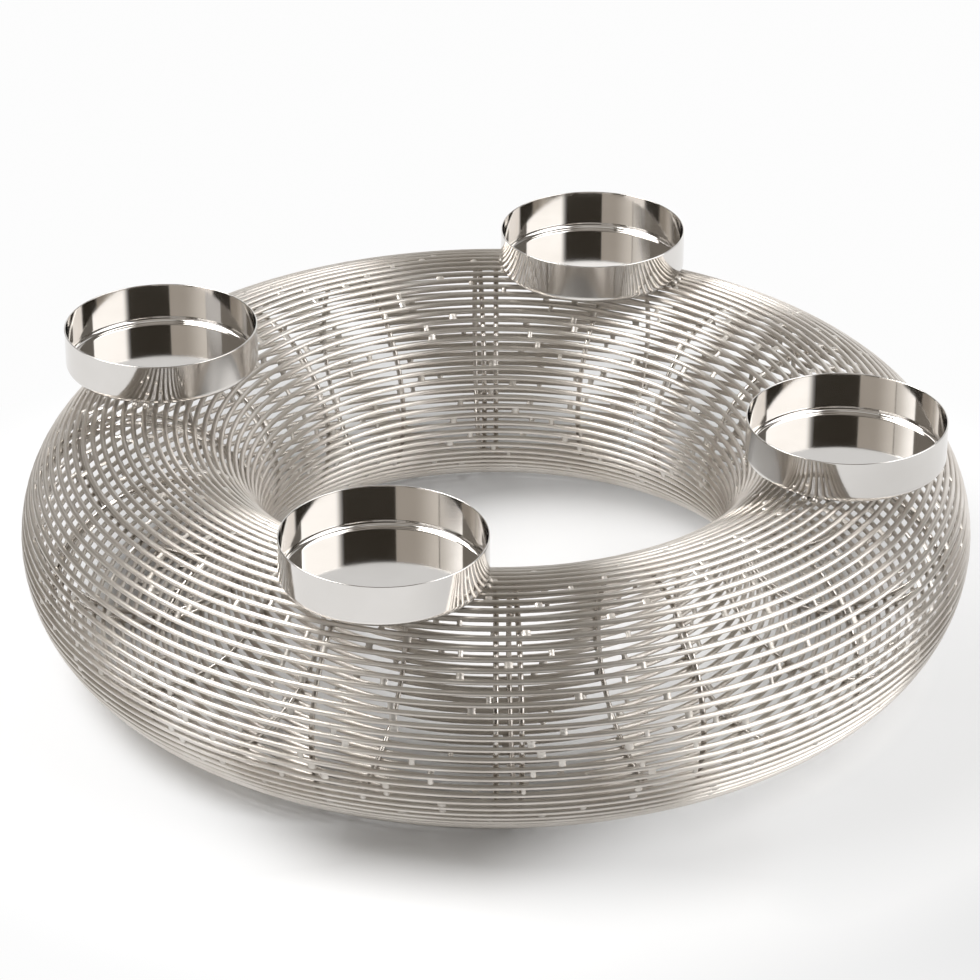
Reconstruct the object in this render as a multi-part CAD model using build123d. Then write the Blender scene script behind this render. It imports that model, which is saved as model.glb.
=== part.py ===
"""Advent candle holder: a ring-shaped cage of plated wire rings with four candle cups on its crest.

Frame: +Z up, origin on the table under the centre of the cage. The front cup stands on -Y.
Angles round the cage are counted from the front cup, towards the right-hand cup on +X.
"""

from build123d import *
import math
import os

# Cage of wire rings (millimetres, degrees)
overall_diameter = 400.0
tube_diameter = 102.0
ring_wire_diameter = 2.2
ring_pairs = 36

# Rib hoops inside the cage, which the rings are welded to
rib_wire_diameter = 2.2
ribs_per_cup = 4
first_rib_angle = 18.3
twin_rib_spread = 2.9
weld_clearance = 0.02

# Candle cups on the crest of the cage
cup_count = 4
candle_diameter = 80.0
candle_clearance = 0.4
cup_wall = 0.6
cup_height = 18.0
cup_corner_radius = 2.8
cup_rim_round = 0.25
cup_seat_clearance = 0.02

# Solder beads where the crest rings leave the foot of a cup
bead_radius = 1.3
bead_rise = 0.1

# Sizes that follow from the ones above
ring_wire_radius = ring_wire_diameter / 2
rib_wire_radius = rib_wire_diameter / 2
cage_radius = (overall_diameter - tube_diameter) / 2
ring_path_radius = tube_diameter / 2 - ring_wire_radius
rib_path_radius = ring_path_radius - ring_wire_radius - rib_wire_radius - weld_clearance
ring_pitch = 180.0 / ring_pairs
# No ring lies at the very top or bottom: two rings share the crest, and two stand on the table
crest_angle = 90.0 - ring_pitch / 2 if ring_pairs % 2 == 0 else 90.0
crest_reach = ring_path_radius * math.sin(math.radians(crest_angle)) + ring_wire_radius
cage_centre_height = crest_reach
cup_seat_height = cage_centre_height + crest_reach + cup_seat_clearance
cup_bore_radius = candle_diameter / 2 + candle_clearance
cup_outer_radius = cup_bore_radius + cup_wall
cup_names = ("front", "right", "back", "left")


def around(angle, radius, height):
    """The point at an angle round the cage, at a distance from its axis and a height."""
    turn = math.radians(angle)
    return Vector(radius * math.sin(turn), -radius * math.cos(turn), height)


def wire_ring(section_angle):
    """One closed ring of wire, at an angle round the cage's cross-section from its outermost point."""
    turn = math.radians(section_angle)
    ring_radius = cage_radius + ring_path_radius * math.cos(turn)
    ring_height = cage_centre_height + ring_path_radius * math.sin(turn)
    return Pos(0, 0, ring_height) * Torus(ring_radius, ring_wire_radius)


def ring_angle(pair):
    """The angle of a pair's upper ring. Pairs are counted from the outermost one inwards."""
    return (pair - 0.5) * ring_pitch


def wire_ring_pair(pair):
    """The two rings of one size: one above the cage's middle plane and its twin below."""
    angle = ring_angle(pair)
    return Compound(children=[wire_ring(angle), wire_ring(-angle)])


def rib_hoop(angle):
    """One closed hoop that the wire rings lie on, in an upright plane through the cage's axis."""
    centre = around(angle, cage_radius, cage_centre_height)
    along = around(angle + 90.0, 1.0, 0.0)
    outwards = around(angle, 1.0, 0.0)
    upright = Plane(origin=centre, x_dir=outwards, z_dir=along)
    return upright * Torus(rib_path_radius, rib_wire_radius)


def rib(number):
    """A rib is one hoop, but the first rib after each cup is a twin."""
    rib_count = ribs_per_cup * cup_count
    angle = first_rib_angle + (number - 1) * 360.0 / rib_count
    if (number - 1) % ribs_per_cup:
        return rib_hoop(angle)
    half = twin_rib_spread / 2
    return Compound(children=[rib_hoop(angle - half), rib_hoop(angle + half)])


def cup_angle(index):
    return index * 360.0 / cup_count


def candle_cup(index):
    """A deep-drawn cup: a flat floor, a rounded corner and an upright wall with an eased rim."""
    inner_corner = cup_corner_radius - cup_wall
    flat_radius = cup_outer_radius - cup_corner_radius
    with BuildPart() as cup:
        with BuildSketch(Plane.XZ):
            with BuildLine():
                Polyline(
                    (0, cup_wall),
                    (0, 0),
                    (flat_radius, 0),
                )
                JernArc((flat_radius, 0), (1, 0), cup_corner_radius, 90)
                Polyline(
                    (cup_outer_radius, cup_corner_radius),
                    (cup_outer_radius, cup_height),
                    (cup_bore_radius, cup_height),
                    (cup_bore_radius, cup_corner_radius),
                )
                JernArc((cup_bore_radius, cup_corner_radius), (0, -1), inner_corner, -90)
                Line((flat_radius, cup_wall), (0, cup_wall))
            make_face()
        revolve(axis=Axis.Z)
        rim_edges = cup.edges().group_by(Axis.Z)[-1].filter_by(GeomType.CIRCLE)
        fillet(rim_edges, radius=cup_rim_round)
    foot = around(cup_angle(index), cage_radius, cup_seat_height)
    return Pos(foot.X, foot.Y, foot.Z) * cup.part


def crest_rings():
    """The angles round the cross-section of the rings that the cups stand on."""
    return sorted({crest_angle, 180.0 - crest_angle})


def solder_beads(index):
    """Beads at the rim of a cup's foot, one at each end of each crest ring that passes under it."""
    cup = candle_cup(index)
    beads = []
    for section_angle in crest_rings():
        ring = wire_ring(section_angle)
        ring_radius = cage_radius + ring_path_radius * math.cos(math.radians(section_angle))
        opening = (cage_radius**2 + ring_radius**2 - cup_outer_radius**2) / (2 * cage_radius * ring_radius)
        swing = math.degrees(math.acos(opening))
        for side in (-1, 1):
            place = around(cup_angle(index) + side * swing, ring_radius, cup_seat_height + bead_rise)
            ball = Pos(place.X, place.Y, place.Z) * Sphere(bead_radius)
            beads.append(ball - ring - cup)
    return beads


def main():
    os.makedirs("parts", exist_ok=True)
    for pair in range(1, ring_pairs + 1):
        export_step(wire_ring_pair(pair), f"parts/wire_ring_pair_{pair:02d}.step")
    for number in range(1, ribs_per_cup * cup_count + 1):
        export_step(rib(number), f"parts/rib_hoop_{number:02d}.step")
    for index, name in enumerate(cup_names):
        export_step(candle_cup(index), f"parts/candle_cup_{name}.step")
    beads = [bead for index in range(cup_count) for bead in solder_beads(index)]
    export_step(Compound(children=beads), "parts/cup_solder_beads.step")


main()
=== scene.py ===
"""Looks of the advent candle holder: a ring-shaped cage of nickel wire with four bright drawn cups."""

import math

import bpy
from mathutils import Matrix, Vector


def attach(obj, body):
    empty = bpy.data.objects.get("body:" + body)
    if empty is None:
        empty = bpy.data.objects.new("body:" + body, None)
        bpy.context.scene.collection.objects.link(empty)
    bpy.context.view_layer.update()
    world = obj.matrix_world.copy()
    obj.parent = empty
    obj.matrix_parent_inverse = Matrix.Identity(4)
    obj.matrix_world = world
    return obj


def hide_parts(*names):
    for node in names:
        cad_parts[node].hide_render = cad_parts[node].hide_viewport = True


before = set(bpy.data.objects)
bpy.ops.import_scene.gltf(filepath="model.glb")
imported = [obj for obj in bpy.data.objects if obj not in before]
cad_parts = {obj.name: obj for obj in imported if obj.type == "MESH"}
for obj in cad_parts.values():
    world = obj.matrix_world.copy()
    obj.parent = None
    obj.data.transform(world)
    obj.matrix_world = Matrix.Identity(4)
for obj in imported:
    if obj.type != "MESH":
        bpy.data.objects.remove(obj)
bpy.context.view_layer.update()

# The holder's sizes, in metres and radians, the same as in the part's source
MM = 0.001
overall_diameter = 400 * MM
tube_diameter = 102 * MM
ring_wire_radius = 1.1 * MM
cup_bore_radius = 40.4 * MM
cup_wall = 0.6 * MM
cup_height = 18 * MM
cup_corner_radius = 2.8 * MM
cup_rim_round = 0.25 * MM
cup_seat_clearance = 0.02 * MM
ring_nodes = sorted(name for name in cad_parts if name.startswith("wire_ring_pair_"))
rib_nodes = sorted(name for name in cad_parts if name.startswith("rib_hoop_"))
ring_count = 2 * len(ring_nodes)
ring_pitch = 2 * math.pi / ring_count
cage_radius = (overall_diameter - tube_diameter) / 2
ring_path_radius = tube_diameter / 2 - ring_wire_radius
crest_reach = ring_path_radius * math.cos(ring_pitch / 2) + ring_wire_radius
cage_height = crest_reach
cup_seat_height = cage_height + crest_reach + cup_seat_clearance
cup_outer_radius = cup_bore_radius + cup_wall
cup_flat_radius = cup_outer_radius - cup_corner_radius
cup_turns = {"front": 0, "right": 90, "back": 180, "left": 270}

# How finely the new pieces are divided
RING_SEGMENTS = 180
WIRE_SIDES = 14
WELD_SIDES = 12
TACK_SIDES = 8
CUP_SEGMENTS = 192
CORNER_STEPS = 8
LIP_STEPS = 4
cup_support_edge = 0.3 * MM

# Faces that meet at less than this many degrees are shaded as one curve
WIRE_SMOOTHING = 60
TACK_SMOOTHING = 50
CUP_SMOOTHING = 40

# The butt weld that closes each ring: its radii are shares of the wire's or of its own fullest radius
butt_weld_length = 2.6 * MM
butt_weld_swell = 1.05
butt_weld_end = 0.96
butt_weld_shoulder = 0.99
butt_weld_shoulder_place = 0.6
flush_ring_limit = 0.995

# Tack bridges between neighbouring rings: places along a bridge are shares of the gap between the wires
tack_radius = 0.95 * MM
tack_end = 0.92
tack_waist = 0.86
tack_shoulder_place = 0.42
tack_waist_place = 0.14
tack_sink = 0.3 * MM
tack_depth = 0.72
tack_least_width = 1.1
tack_width_spread = 0.9
tack_spacing = 60 * MM
tack_jitter = 0.8

# Steady draws for what is uneven, one number for each use
SCATTER_WEIGHTS = (12.9898, 78.233, 37.719)
SCATTER_STRETCH = 43758.5453
UPPER_WELD_DRAW = 1
LOWER_WELD_DRAW = 2
TACK_PLACE_DRAW = 3
TACK_START_DRAW = 5
TACK_WIDTH_DRAW = 7

# Marks in the plating: scales count features per metre
HAZE_SCALE = 45.0
HAZE_RANGE = (0.35, 0.75)
GRAIN_SCALE = 900.0
GRAIN_SHARE = 0.35
POLISH_SCALE = 1400.0
POLISH_STRENGTH = 0.012
DRAW_LINE_STRENGTH = 0.92
DRAW_LINE_TURN = 0.25
relief_depth = 0.2 * MM

# Light levels of the paper and the room, where 1 is white; the shady paper and the soft shade are painted
# shadows on the paper
PAPER = 0.98
SHADY_PAPER = 0.68
SOFT_SHADE = 0.82
ROOM = (0.200, 0.187, 0.170)

# How far each zone of the paper glows by itself, from 0 to 1: painted light at its sides, on its right and
# in the hole
SIDE_PAINTED_GLOW = 0.75
RIGHT_PAINTED_GLOW = 0.55
HOLE_PAINTED_GLOW = 0.45

# Zones of the paper, most of them painted shadow or painted light; the fade is where it turns into an even
# white. A place is (degrees round the holder, metres from its middle), an edge is (start, end)
floor_size = 14
paper_fade = (0.17, 0.31)
# painted soft shadow on the paper, right of the holder
soft_shade_place = (75, 0.26)
soft_shade_edge = (0.03, 0.32)
# sideways edge where the painted contact shadow ends and the painted glow at the sides begins
side_edge = (0.04, 0.13)
# where the painted light at the sides and on the right begins
side_glow_edge = (0.165, 0.205)
right_glow_edge = (0.08, 0.15)
# painted shadow on the paper under the cage and behind it
cage_shadow_place = (-163, 0.094)
cage_shadow_edge = (0.165, 0.214)
# painted contact shadow round the foot of the tube
contact_shadow_edge = (0.186, 0.240)
# painted pool of light in the holder's hole
hole_light_place = (150, 0.042)
hole_light_edge = (0.060, 0.155)

# The main lamp
KEY = 8.2
key_turn = math.radians(-75)
key_rise = math.radians(56)
key_distance = 1.3
key_size = (0.86, 0.62)

# The other lamps: places as above, heights above the table, and levels where 1 is white
right_softbox = ((57, 1.00), (118, 1.20))
right_softbox_parts = {
    "low": ((0.0, 0.46), 3.6),
    "gap": ((0.46, 0.82), 1.9),
    "high": ((0.82, 2.0), 3.8),
}
SOFTBOX_EDGE = 0.2
softbox_edge_share = 0.15
left_strip = ((-62, 1.30), (-42, 1.30))
left_strip_heights = (0.0, 0.70)
LEFT_STRIP = 0.85
left_strip_top = ((-74, 1.14), (-43, 1.27))
left_strip_top_heights = (0.70, 0.88)
STRIP_TOP_BRIGHT = 2.0
STRIP_TOP_WARM = (0.95, 0.92, 0.87)
ceiling_panel_height = 1.7
ceiling_panel_size = (0.7, 0.7)
CEILING_PANEL = (0.6, 0.585, 0.56)

# The screens round the table
dark_curtain = ((4, 1.38), (57, 0.95))
dark_curtain_heights = (0.0, 0.86)
DARK = (0.048, 0.042, 0.033)
front_screen = ((-42, 1.30), (4, 1.38))
low_dark_heights = (0.0, 0.56)
beige_heights = (0.56, 0.92)
BEIGE_BRIGHT = (1.0, 0.96, 0.9)
BEIGE = (0.58, 0.54, 0.49)
beige_share = 0.6
left_curtain = ((-135, 1.30), (-62, 1.30))
left_curtain_heights = (0.0, 0.88)
LEFT_CURTAIN = (0.25, 0.23, 0.205)
front_ceiling = ((-42, 1.25), (57, 1.05))
front_ceiling_heights = (0.92, 1.9)
FRONT_CEILING = (0.515, 0.485, 0.445)
back_wall = ((150, 1.30), (225, 1.30))
back_wall_heights = (0.0, 0.58)
back_wall_top_heights = (0.58, 1.45)
BACK_WALL = 1.2
BACK_WALL_TOP = 0.82

# The camera of the photograph, with its lens and sensor in millimetres
camera_place = Vector((0.4291, -1.4183, 0.8539))
camera_pitch = math.radians(61.92)
camera_turn = math.radians(16.93)
camera_lens = 146.07
camera_sensor = 36
camera_sight = 50


def around(turn, radius, height):
    """The point at a turn round the cage, counted from the front cup towards the right-hand one."""
    return Vector((radius * math.sin(turn), -radius * math.cos(turn), height))


def floor_place(degrees, distance):
    """A point on the table, by degrees round the holder and metres from its middle."""
    return around(math.radians(degrees), distance, 0)


def scatter(*keys):
    """A steady number from 0 to 1 that looks random, for a list of whole numbers."""
    mixed = sum(key * weight for key, weight in zip(keys, SCATTER_WEIGHTS))
    return (math.sin(mixed) * SCATTER_STRETCH) % 1.0


# Modelling helpers

def deselect_everything():
    bpy.ops.object.select_all(action="DESELECT")


def pick(piece):
    """Make a piece the only one that is selected, and the active one."""
    deselect_everything()
    piece.select_set(True)
    bpy.context.view_layer.objects.active = piece


def settle(piece):
    """Put the piece's place into its mesh, so that its object sits at the origin."""
    pick(piece)
    bpy.ops.object.transform_apply(location=True, rotation=True, scale=True)


def turned_form(name, profile, segments):
    """A closed form about the Z axis: a circle raised through (radius, height) points, then capped."""
    deselect_everything()
    radius, height = profile[0]
    bpy.ops.mesh.primitive_circle_add(vertices=segments, radius=radius, location=(0, 0, height))
    piece = bpy.context.object
    piece.name = name
    settle(piece)
    bpy.ops.object.mode_set(mode="EDIT")
    bpy.ops.mesh.select_all(action="SELECT")
    bpy.ops.mesh.edge_face_add()
    for next_radius, next_height in profile[1:]:
        bpy.ops.mesh.extrude_region_move(
            TRANSFORM_OT_translate={"value": (0, 0, next_height - height)}
        )
        grow = next_radius / radius
        bpy.ops.transform.resize(value=(grow, grow, 1), center_override=(0, 0, next_height))
        radius, height = next_radius, next_height
    bpy.ops.mesh.select_all(action="SELECT")
    bpy.ops.mesh.normals_make_consistent(inside=False)
    bpy.ops.object.mode_set(mode="OBJECT")
    return piece


def copied(blank, name, place):
    """A copy of a finished blank with a mesh of its own, set in place."""
    mesh = blank.data.copy()
    mesh.transform(place)
    piece = bpy.data.objects.new(name, mesh)
    bpy.context.scene.collection.objects.link(piece)
    return piece


def joined(name, pieces):
    """Several pieces as one."""
    deselect_everything()
    for piece in pieces:
        piece.select_set(True)
    bpy.context.view_layer.objects.active = pieces[0]
    bpy.ops.object.join()
    whole = bpy.context.object
    whole.name = name
    return whole


def smooth(piece, degrees):
    pick(piece)
    bpy.ops.object.shade_smooth_by_angle(angle=math.radians(degrees))


def finish_piece(piece, material, slot, *nodes):
    """Dress a piece, tie it to the holder's body and let it stand for its CAD nodes."""
    piece.data.materials.clear()
    piece.data.materials.append(material)
    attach(piece, "root")
    if nodes:
        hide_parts(*nodes)


def arc_points(centre, radius, start, end, steps):
    """Points along an arc in the (radius, height) plane, angles in degrees."""
    points = []
    for number in range(steps + 1):
        angle = math.radians(start + (end - start) * number / steps)
        points.append((centre[0] + radius * math.cos(angle), centre[1] + radius * math.sin(angle)))
    return points


# Wire rings

def section_place(turn, section_angle, radius):
    """A point near the tube's skin: a turn round the cage, and an angle round its cross-section."""
    reach = cage_radius + radius * math.cos(section_angle)
    return around(turn, reach, cage_height + radius * math.sin(section_angle))


def section_axes(turn, section_angle):
    """Unit vectors along the ring, round the cross-section, and out of the tube."""
    along = around(turn + math.pi / 2, 1, 0)
    outwards = around(turn, math.cos(section_angle), math.sin(section_angle))
    across = along.cross(outwards)
    return along, across, outwards


def placed(origin, x_axis, y_axis, z_axis):
    """The move that sets a blank at an origin, turned to three axes."""
    turn = Matrix((x_axis, y_axis, z_axis)).transposed().to_4x4()
    return Matrix.Translation(origin) @ turn


def butt_weld_blank():
    """A slight barrel round the wire, where its two ends were welded together."""
    half = butt_weld_length / 2
    full = ring_wire_radius * butt_weld_swell
    shoulder = butt_weld_shoulder_place * half
    profile = [
        (ring_wire_radius * butt_weld_end, -half),
        (full * butt_weld_shoulder, -shoulder),
        (full, 0),
        (full * butt_weld_shoulder, shoulder),
        (ring_wire_radius * butt_weld_end, half),
    ]
    return turned_form("butt_weld_blank", profile, WELD_SIDES)


def wire_ring(name, section_angle, weld, weld_turn):
    """One ring with its butt weld. The outermost, innermost, lowest and crest rings are ground flush."""
    deselect_everything()
    place = section_place(0, section_angle, ring_path_radius)
    bpy.ops.mesh.primitive_torus_add(
        major_radius=-place.y,
        minor_radius=ring_wire_radius,
        major_segments=RING_SEGMENTS,
        minor_segments=WIRE_SIDES,
        location=(0, 0, place.z),
    )
    ring = bpy.context.object
    ring.name = name
    settle(ring)
    if max(abs(math.sin(section_angle)), abs(math.cos(section_angle))) > flush_ring_limit:
        return ring
    along, across, outwards = section_axes(weld_turn, section_angle)
    spot = section_place(weld_turn, section_angle, ring_path_radius)
    collar = copied(weld, name + "_weld", placed(spot, across, outwards, along))
    return joined(name, [ring, collar])


def make_wire_rings(material):
    weld = butt_weld_blank()
    for pair, node in enumerate(ring_nodes):
        angle = (pair + 0.5) * ring_pitch
        upper = wire_ring("upper_ring", angle, weld, math.tau * scatter(pair, UPPER_WELD_DRAW))
        lower = wire_ring("lower_ring", -angle, weld, math.tau * scatter(pair, LOWER_WELD_DRAW))
        rings = joined(node.replace("wire", "nickel"), [upper, lower])
        smooth(rings, WIRE_SMOOTHING)
        finish_piece(rings, material, "wire_nickel", node)
    bpy.data.objects.remove(weld)


# Tack bridges between the rings

def tack_blank():
    """A waisted stub of weld metal between two wires, standing along Z, with its ends sunk in them."""
    gap = 2 * ring_path_radius * math.sin(ring_pitch / 2) - 2 * ring_wire_radius
    half = gap / 2 + tack_sink
    profile = [
        (tack_radius * tack_end, -half),
        (tack_radius, -tack_shoulder_place * gap),
        (tack_radius * tack_waist, -tack_waist_place * gap),
        (tack_radius * tack_waist, tack_waist_place * gap),
        (tack_radius, tack_shoulder_place * gap),
        (tack_radius * tack_end, half),
    ]
    return turned_form("tack_blank", profile, TACK_SIDES)


def tacks_in_gap(blank, gap):
    """The bridges in one gap between two rings, at uneven places round the cage."""
    angle = gap * ring_pitch
    middle_radius = ring_path_radius * math.cos(ring_pitch / 2)
    reach = cage_radius + middle_radius * math.cos(angle)
    count = round(math.tau * reach / tack_spacing)
    tacks = []
    for number in range(count):
        shift = tack_jitter * scatter(gap, number, TACK_PLACE_DRAW) + scatter(gap, 0, TACK_START_DRAW)
        turn = math.tau * (number + shift) / count
        width = tack_least_width + tack_width_spread * scatter(gap, number, TACK_WIDTH_DRAW)
        along, across, outwards = section_axes(turn, angle)
        spot = section_place(turn, angle, middle_radius)
        size = Matrix.Diagonal((width, tack_depth, 1, 1))
        tacks.append(copied(blank, "tack", placed(spot, along, outwards, -across) @ size))
    return tacks


def make_tacks(material):
    """A few bridges in every gap between rings, as one piece for each quarter of the cross-section."""
    blank = tack_blank()
    quarter = ring_count // 4
    for side, name in enumerate(("outer_upper", "inner_upper", "inner_lower", "outer_lower")):
        tacks = []
        for gap in range(side * quarter, (side + 1) * quarter):
            tacks += tacks_in_gap(blank, gap)
        group = joined("ring_tacks_" + name, tacks)
        smooth(group, TACK_SMOOTHING)
        finish_piece(group, material, "solder_nickel")
    bpy.data.objects.remove(blank)


# Candle cups

def cup_profile():
    """From the edge of the foot, round the outside, over the lip and down to the edge of the floor."""
    middle = (cup_flat_radius, cup_corner_radius)
    lip_low = cup_height - cup_rim_round
    wall_low = cup_corner_radius + cup_support_edge
    wall_high = lip_low - cup_support_edge
    flat_edge = cup_flat_radius - cup_support_edge
    outer_lip = (cup_outer_radius - cup_rim_round, lip_low)
    inner_lip = (cup_bore_radius + cup_rim_round, lip_low)
    points = [(flat_edge, 0)]
    points += arc_points(middle, cup_corner_radius, -90, 0, CORNER_STEPS)
    points += [(cup_outer_radius, wall_low), (cup_outer_radius, wall_high)]
    points += arc_points(outer_lip, cup_rim_round, 0, 90, LIP_STEPS)
    points += arc_points(inner_lip, cup_rim_round, 90, 180, LIP_STEPS)
    points += [(cup_bore_radius, wall_high), (cup_bore_radius, wall_low)]
    points += arc_points(middle, cup_corner_radius - cup_wall, 0, -90, CORNER_STEPS)
    points += [(flat_edge, cup_wall)]
    return points


def make_cups():
    blank = turned_form("cup_blank", cup_profile(), CUP_SEGMENTS)
    for name, degrees in cup_turns.items():
        foot = around(math.radians(degrees), cage_radius, cup_seat_height)
        cup = copied(blank, "polished_cup_" + name, Matrix.Translation(foot))
        smooth(cup, CUP_SMOOTHING)
        finish_piece(cup, cup_nickel(name, foot), "cup_nickel", "candle_cup_" + name)
    bpy.data.objects.remove(blank)


# Materials

def add_node(tree, kind, options=None, inputs=None):
    """A new node, with its options and the values of its inputs."""
    made = tree.nodes.new(kind)
    for key, value in (options or {}).items():
        setattr(made, key, value)
    for key, value in (inputs or {}).items():
        made.inputs[key].default_value = value
    return made


def add_noise(tree, scale, detail, roughness):
    settings = {"Scale": scale, "Detail": detail, "Roughness": roughness}
    return add_node(tree, "ShaderNodeTexNoise", inputs=settings)


def new_group(name, inputs, outputs):
    """An empty shader node group with named sockets, and the nodes where they come in and go out."""
    group = bpy.data.node_groups.new(name, "ShaderNodeTree")
    for direction, sockets in (("INPUT", inputs), ("OUTPUT", outputs)):
        for socket, kind in sockets.items():
            group.interface.new_socket(socket, in_out=direction, socket_type="NodeSocket" + kind)
    return group, add_node(group, "NodeGroupInput"), add_node(group, "NodeGroupOutput")


def plating_marks():
    """Shared finish of plated metal: a slow haze, small clouds in the tone, and fine polishing grain."""
    group, come, go = new_group(
        "plating_marks",
        {
            "Vector": "Vector",
            "Dull": "Float",
            "Bright Color": "Color",
            "Dull Color": "Color",
            "Low Roughness": "Float",
            "High Roughness": "Float",
        },
        {"Color": "Color", "Roughness": "Float", "Height": "Float"},
    )
    haze = add_noise(group, HAZE_SCALE, detail=3.0, roughness=0.55)
    grain = add_noise(group, GRAIN_SCALE, detail=4.0, roughness=0.6)
    haze_range = {"From Min": HAZE_RANGE[0], "From Max": HAZE_RANGE[1]}
    spread = add_node(group, "ShaderNodeMapRange", inputs=haze_range)
    amount = add_node(group, "ShaderNodeMath", {"operation": "MULTIPLY", "use_clamp": True})
    tone = add_node(group, "ShaderNodeMix", {"data_type": "RGBA"})
    rough = add_node(group, "ShaderNodeMapRange")
    mixed = add_node(group, "ShaderNodeMath", {"operation": "MULTIPLY_ADD"}, {1: GRAIN_SHARE})
    links = group.links
    links.new(come.outputs["Vector"], haze.inputs["Vector"])
    links.new(come.outputs["Vector"], grain.inputs["Vector"])
    links.new(haze.outputs["Fac"], spread.inputs["Value"])
    links.new(spread.outputs["Result"], amount.inputs[0])
    links.new(come.outputs["Dull"], amount.inputs[1])
    links.new(amount.outputs["Value"], tone.inputs["Factor"])
    links.new(come.outputs["Bright Color"], tone.inputs["A"])
    links.new(come.outputs["Dull Color"], tone.inputs["B"])
    links.new(grain.outputs["Fac"], mixed.inputs[0])
    links.new(amount.outputs["Value"], mixed.inputs[2])
    links.new(mixed.outputs["Value"], rough.inputs["Value"])
    links.new(come.outputs["Low Roughness"], rough.inputs["To Min"])
    links.new(come.outputs["High Roughness"], rough.inputs["To Max"])
    links.new(tone.outputs["Result"], go.inputs["Color"])
    links.new(rough.outputs["Result"], go.inputs["Roughness"])
    links.new(grain.outputs["Fac"], go.inputs["Height"])
    return group


def polishing_lines():
    """Shared finish of the cups: fine lines round the Z axis, from a noise of distance and height alone."""
    group, come, go = new_group("polishing_lines", {"Vector": "Vector"}, {"Height": "Float"})
    apart = add_node(group, "ShaderNodeSeparateXYZ")
    flat = add_node(group, "ShaderNodeCombineXYZ")
    reach = add_node(group, "ShaderNodeVectorMath", {"operation": "LENGTH"})
    across = add_node(group, "ShaderNodeCombineXYZ")
    lines = add_noise(group, POLISH_SCALE, detail=3.0, roughness=0.7)
    links = group.links
    links.new(come.outputs["Vector"], apart.inputs["Vector"])
    links.new(apart.outputs["X"], flat.inputs["X"])
    links.new(apart.outputs["Y"], flat.inputs["Y"])
    links.new(flat.outputs["Vector"], reach.inputs[0])
    links.new(reach.outputs["Value"], across.inputs["X"])
    links.new(apart.outputs["Z"], across.inputs["Z"])
    links.new(across.outputs["Vector"], lines.inputs["Vector"])
    links.new(lines.outputs["Fac"], go.inputs["Height"])
    return group


marks = plating_marks()
lines_round_axis = polishing_lines()


def plated_metal(name, bright, dull_color, dull, roughness, bump):
    """A nickel finish: its colours where bright and dull, how dull it is, and its range of roughness."""
    material = bpy.data.materials.new(name)
    material.use_nodes = True
    tree = material.node_tree
    shader = tree.nodes["Principled BSDF"]
    shader.inputs["Metallic"].default_value = 1.0
    place = add_node(tree, "ShaderNodeTexCoord")
    finish = add_node(tree, "ShaderNodeGroup", {"node_tree": marks}, {
        "Dull": dull,
        "Bright Color": (*bright, 1.0),
        "Dull Color": (*dull_color, 1.0),
        "Low Roughness": roughness[0],
        "High Roughness": roughness[1],
    })
    relief = add_node(tree, "ShaderNodeBump", inputs={"Strength": bump, "Distance": relief_depth})
    tree.links.new(place.outputs["Object"], finish.inputs["Vector"])
    tree.links.new(finish.outputs["Color"], shader.inputs["Base Color"])
    tree.links.new(finish.outputs["Roughness"], shader.inputs["Roughness"])
    tree.links.new(finish.outputs["Height"], relief.inputs["Height"])
    tree.links.new(relief.outputs["Normal"], shader.inputs["Normal"])
    return material


def wire_nickel():
    """Drawn wire: its draw lines spread a reflection round the wire, and keep it sharp along the wire."""
    material = plated_metal(
        "drawn_wire_nickel",
        bright=(0.73, 0.692, 0.645),
        dull_color=(0.62, 0.57, 0.515),
        dull=0.8,
        roughness=(0.29, 0.39),
        bump=0.04,
    )
    shader = material.node_tree.nodes["Principled BSDF"]
    shader.inputs["Anisotropic"].default_value = DRAW_LINE_STRENGTH
    shader.inputs["Anisotropic Rotation"].default_value = DRAW_LINE_TURN
    return material


def rib_nickel():
    """The rib wire: a little darker than the rings."""
    return plated_metal(
        "rib_wire_nickel",
        bright=(0.64, 0.61, 0.57),
        dull_color=(0.50, 0.46, 0.42),
        dull=0.9,
        roughness=(0.20, 0.36),
        bump=0.08,
    )


def weld_nickel():
    """Weld metal and solder: plated over, but dull and uneven."""
    return plated_metal(
        "weld_nickel",
        bright=(0.66, 0.63, 0.59),
        dull_color=(0.50, 0.465, 0.42),
        dull=1.0,
        roughness=(0.36, 0.58),
        bump=0.3,
    )


def cup_nickel(name, foot):
    """Mirror nickel with faint polishing lines round the axis of the cup."""
    material = plated_metal(
        "mirror_nickel_" + name,
        bright=(0.730, 0.707, 0.682),
        dull_color=(0.675, 0.650, 0.620),
        dull=0.6,
        roughness=(0.05, 0.11),
        bump=0.01,
    )
    tree = material.node_tree
    place = add_node(tree, "ShaderNodeTexCoord")
    centred = add_node(tree, "ShaderNodeMapping", inputs={"Location": -foot})
    polish = add_node(tree, "ShaderNodeGroup", {"node_tree": lines_round_axis})
    relief = add_node(tree, "ShaderNodeBump", inputs={"Strength": POLISH_STRENGTH, "Distance": relief_depth})
    links = tree.links
    links.new(place.outputs["Object"], centred.inputs["Vector"])
    links.new(centred.outputs["Vector"], polish.inputs["Vector"])
    links.new(polish.outputs["Height"], relief.inputs["Height"])
    links.new(tree.nodes["Bump"].outputs["Normal"], relief.inputs["Normal"])
    links.new(relief.outputs["Normal"], tree.nodes["Principled BSDF"].inputs["Normal"])
    return material


def dress_cad_nodes(nodes, material):
    """CAD nodes whose shape is right keep it and get a better finish."""
    for node in nodes:
        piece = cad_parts[node]
        piece.data.materials.clear()
        piece.data.materials.append(material)


# The studio's paper

def bare_material(name):
    """A material with nothing but its output, and its node tree."""
    material = bpy.data.materials.new(name)
    material.use_nodes = True
    tree = material.node_tree
    tree.nodes.remove(tree.nodes["Principled BSDF"])
    return material, tree


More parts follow.
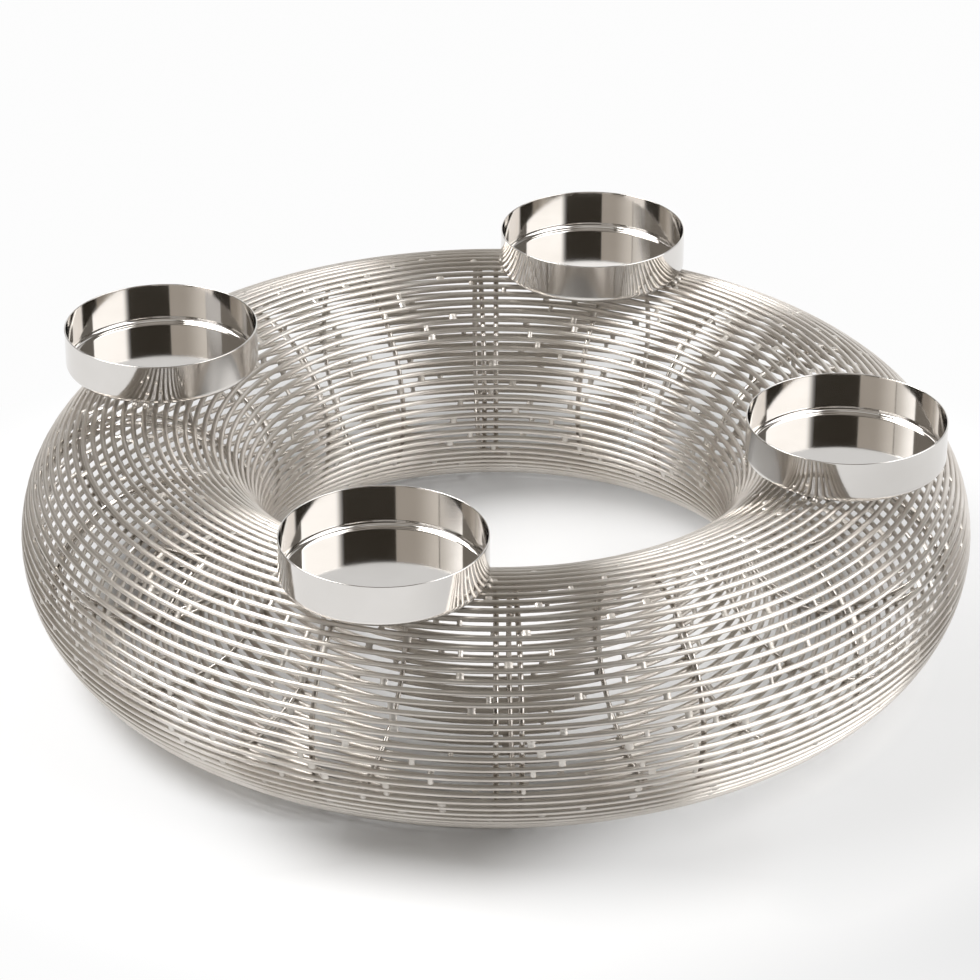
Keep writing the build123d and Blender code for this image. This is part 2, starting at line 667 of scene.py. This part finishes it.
def measured(tree, operation, vector):
    """How far a point of the paper lies from a place (DISTANCE) or along a direction (DOT_PRODUCT)."""
    place = add_node(tree, "ShaderNodeTexCoord")
    found = add_node(tree, "ShaderNodeVectorMath", {"operation": operation}, {1: vector})
    tree.links.new(place.outputs["Object"], found.inputs[0])
    return found.outputs["Value"]


def distance_from(tree, degrees, distance):
    return measured(tree, "DISTANCE", floor_place(degrees, distance))


def step(tree, value, edge, levels):
    """A soft step from one level to another, between the start and the end of an edge."""
    found = add_node(tree, "ShaderNodeMapRange", {"interpolation_type": "SMOOTHSTEP"}, {
        "From Min": edge[0],
        "From Max": edge[1],
        "To Min": levels[0],
        "To Max": levels[1],
    })
    tree.links.new(value, found.inputs["Value"])
    return found.outputs["Result"]


def combined(tree, operation, *values):
    found = add_node(tree, "ShaderNodeMath", {"operation": operation})
    for index, value in enumerate(values):
        tree.links.new(value, found.inputs[index])
    return found.outputs["Value"]


def distance_aside(tree):
    """How far a point of the paper lies to the left or right of the holder's middle, as photographed."""
    to_the_right = (math.cos(camera_turn), math.sin(camera_turn), 0)
    return combined(tree, "ABSOLUTE", measured(tree, "DOT_PRODUCT", to_the_right))


def painted_hole_light(tree, level):
    """A painted pool of light on the paper in the holder's hole, with 0 elsewhere."""
    return step(tree, distance_from(tree, *hole_light_place), hole_light_edge, (level, 0))


def paper_levels(tree):
    """How light the paper is where the lamps light it, and where it shines by itself: painted shadows under,
    behind and beside the holder and a painted pool of light in its hole.
    """
    shaded = (SHADY_PAPER, PAPER)
    # Painted pool of light in the hole, lifting the painted shade there
    painted_hole_pool = painted_hole_light(tree, PAPER)
    # Painted shadow under the cage and behind it
    painted_cage_shadow = step(tree, distance_from(tree, *cage_shadow_place), cage_shadow_edge, shaded)
    # Painted contact shadow near the tube's foot, kept to the front and back
    painted_contact_shadow = step(tree, distance_from(tree, 0, 0), contact_shadow_edge, shaded)
    painted_contact_shadow = combined(tree, "MAXIMUM", painted_contact_shadow, step(tree, distance_aside(tree), side_edge, shaded))
    paper_with_painted_shade = combined(tree, "MAXIMUM", combined(tree, "MINIMUM", painted_cage_shadow, painted_contact_shadow), painted_hole_pool)
    # Painted shadow on the right, in the colour the paper glows with
    soft_shade = step(tree, distance_from(tree, *soft_shade_place), soft_shade_edge, (SOFT_SHADE, 1))
    backdrop_and_painted_glow = combined(tree, "MULTIPLY", combined(tree, "MAXIMUM", painted_cage_shadow, painted_hole_pool), soft_shade)
    return paper_with_painted_shade, backdrop_and_painted_glow


def paper_glow_share(tree):
    """How far the paper shines by itself: painted light in part in the hole, at the sides and on the right,
    and fully further out, where it fades into an even white.
    """
    reach = distance_from(tree, 0, 0)
    to_the_right = floor_place(soft_shade_place[0], 1)
    # Painted light: the paper glows at its sides and on its right
    sides = step(tree, distance_aside(tree), side_edge, (0, SIDE_PAINTED_GLOW))
    sides = combined(tree, "MINIMUM", sides, step(tree, reach, side_glow_edge, (0, 1)))
    right = step(tree, measured(tree, "DOT_PRODUCT", to_the_right), right_glow_edge, (0, RIGHT_PAINTED_GLOW))
    painted_hole_pool = painted_hole_light(tree, HOLE_PAINTED_GLOW)
    far_out = step(tree, reach, paper_fade, (0, 1))
    glow_share = sides
    for zone in (right, painted_hole_pool, far_out):
        glow_share = combined(tree, "MAXIMUM", glow_share, zone)
    return glow_share


def studio_paper():
    """White paper that takes the holder's shade, carries painted shadows and painted light, and fades into
    an even white further out.
    """
    material, tree = bare_material("studio_paper")
    paper_with_painted_shade, backdrop_and_painted_glow = paper_levels(tree)
    paper = add_node(tree, "ShaderNodeBsdfDiffuse")
    glow = add_node(tree, "ShaderNodeEmission")
    blend = add_node(tree, "ShaderNodeMixShader")
    links = tree.links
    links.new(paper_with_painted_shade, paper.inputs["Color"])
    links.new(backdrop_and_painted_glow, glow.inputs["Color"])
    links.new(paper_glow_share(tree), blend.inputs["Fac"])
    links.new(paper.outputs["BSDF"], blend.inputs[1])
    links.new(glow.outputs["Emission"], blend.inputs[2])
    links.new(blend.outputs["Shader"], tree.nodes["Material Output"].inputs["Surface"])
    return material


def make_floor():
    deselect_everything()
    bpy.ops.mesh.primitive_plane_add(size=floor_size, location=(0, 0, 0))
    floor = bpy.context.object
    floor.name = "studio_floor"
    floor.data.materials.append(studio_paper())


# Lamps and screens

def length_grade():
    """Shared look of lamps and screens: one colour that turns into another over a share of the length."""
    group, come, go = new_group(
        "length_grade",
        {"First Color": "Color", "Second Color": "Color", "Share": "Float"},
        {"Color": "Color"},
    )
    place = add_node(group, "ShaderNodeTexCoord")
    length = add_node(group, "ShaderNodeSeparateXYZ")
    grade = add_node(group, "ShaderNodeMapRange", {"interpolation_type": "SMOOTHSTEP"})
    tone = add_node(group, "ShaderNodeMix", {"data_type": "RGBA"})
    links = group.links
    links.new(place.outputs["UV"], length.inputs["Vector"])
    links.new(length.outputs["X"], grade.inputs["Value"])
    links.new(come.outputs["Share"], grade.inputs["From Max"])
    links.new(grade.outputs["Result"], tone.inputs["Factor"])
    links.new(come.outputs["First Color"], tone.inputs["A"])
    links.new(come.outputs["Second Color"], tone.inputs["B"])
    links.new(tone.outputs["Result"], go.inputs["Color"])
    return group


sheet_grade = length_grade()


def glowing(name, first, second, share):
    """A material that shines, where 1 is white, and grades from one colour to another."""
    material, tree = bare_material(name)
    tone = add_node(tree, "ShaderNodeGroup", {"node_tree": sheet_grade}, {
        "First Color": (*first, 1.0),
        "Second Color": (*second, 1.0),
        "Share": share,
    })
    glow = add_node(tree, "ShaderNodeEmission")
    tree.links.new(tone.outputs["Color"], glow.inputs["Color"])
    tree.links.new(glow.outputs["Emission"], tree.nodes["Material Output"].inputs["Surface"])
    return material


def grey(level):
    return (level, level, level)


def make_sheet(name, middle, turn, size, first, second=None, share=1):
    """A flat lamp or screen that lights the holder and shows in its polish, but not to the camera."""
    deselect_everything()
    bpy.ops.mesh.primitive_plane_add(size=1, location=middle, rotation=turn)
    sheet = bpy.context.object
    sheet.name = name
    sheet.scale = (*size, 1)
    settle(sheet)
    sheet.data.materials.append(glowing(name, first, second or first, share))
    sheet.visible_camera = False


def upright_sheet(name, ends, heights, *colours):
    """A sheet that stands between two places on the table, from one height to another."""
    start, end = (floor_place(*place) for place in ends)
    along = end - start
    middle = (start + end) / 2
    middle.z = sum(heights) / 2
    turn = (math.pi / 2, 0, math.atan2(along.y, along.x))
    make_sheet(name, middle, turn, (along.length, heights[1] - heights[0]), *colours)


def make_lamps():
    """A strong softbox high on the left, a broad one on the right, and weaker strips and panels."""
    middle = around(key_turn, key_distance * math.cos(key_rise), key_distance * math.sin(key_rise))
    make_sheet("key_softbox", middle, (math.pi / 2 - key_rise, 0, key_turn), key_size, grey(KEY))
    for part, (heights, level) in right_softbox_parts.items():
        colours = (grey(SOFTBOX_EDGE), grey(level), softbox_edge_share)
        upright_sheet("right_softbox_" + part, right_softbox, heights, *colours)
    upright_sheet("left_strip", left_strip, left_strip_heights, grey(LEFT_STRIP))
    strip_top_colours = (grey(STRIP_TOP_BRIGHT), STRIP_TOP_WARM)
    upright_sheet("left_strip_top", left_strip_top, left_strip_top_heights, *strip_top_colours)
    above = (0, 0, ceiling_panel_height)
    make_sheet("ceiling_panel", above, (math.pi, 0, 0), ceiling_panel_size, CEILING_PANEL)


def make_screens():
    """What else stands round the table: dark curtains, a beige front screen and a white back wall."""
    upright_sheet("dark_curtain", dark_curtain, dark_curtain_heights, DARK)
    upright_sheet("low_dark_curtain", front_screen, low_dark_heights, DARK)
    upright_sheet("left_curtain", left_curtain, left_curtain_heights, LEFT_CURTAIN)
    upright_sheet("beige_screen", front_screen, beige_heights, BEIGE_BRIGHT, BEIGE, beige_share)
    upright_sheet("front_ceiling", front_ceiling, front_ceiling_heights, FRONT_CEILING)
    upright_sheet("back_wall", back_wall, back_wall_heights, grey(BACK_WALL))
    upright_sheet("back_wall_top", back_wall, back_wall_top_heights, grey(BACK_WALL_TOP))


def make_room():
    """The dim room behind the lamps and screens."""
    world = bpy.data.worlds.new("studio_room")
    bpy.context.scene.world = world
    world.use_nodes = True
    world.node_tree.nodes["Background"].inputs["Color"].default_value = (*ROOM, 1)


def make_camera():
    data = bpy.data.cameras.new("photo_camera")
    data.lens = camera_lens
    data.sensor_width = camera_sensor
    data.clip_end = camera_sight
    camera = bpy.data.objects.new("photo_camera", data)
    camera.location = camera_place
    camera.rotation_euler = (camera_pitch, 0, camera_turn)
    bpy.context.scene.collection.objects.link(camera)
    bpy.context.scene.camera = camera


def main():
    bpy.context.scene.view_settings.view_transform = "Standard"
    weld_finish = weld_nickel()
    make_wire_rings(wire_nickel())
    make_tacks(weld_finish)
    make_cups()
    dress_cad_nodes(rib_nodes, rib_nickel())
    dress_cad_nodes(["cup_solder_beads"], weld_finish)
    make_floor()
    make_room()
    make_lamps()
    make_screens()
    make_camera()


main()
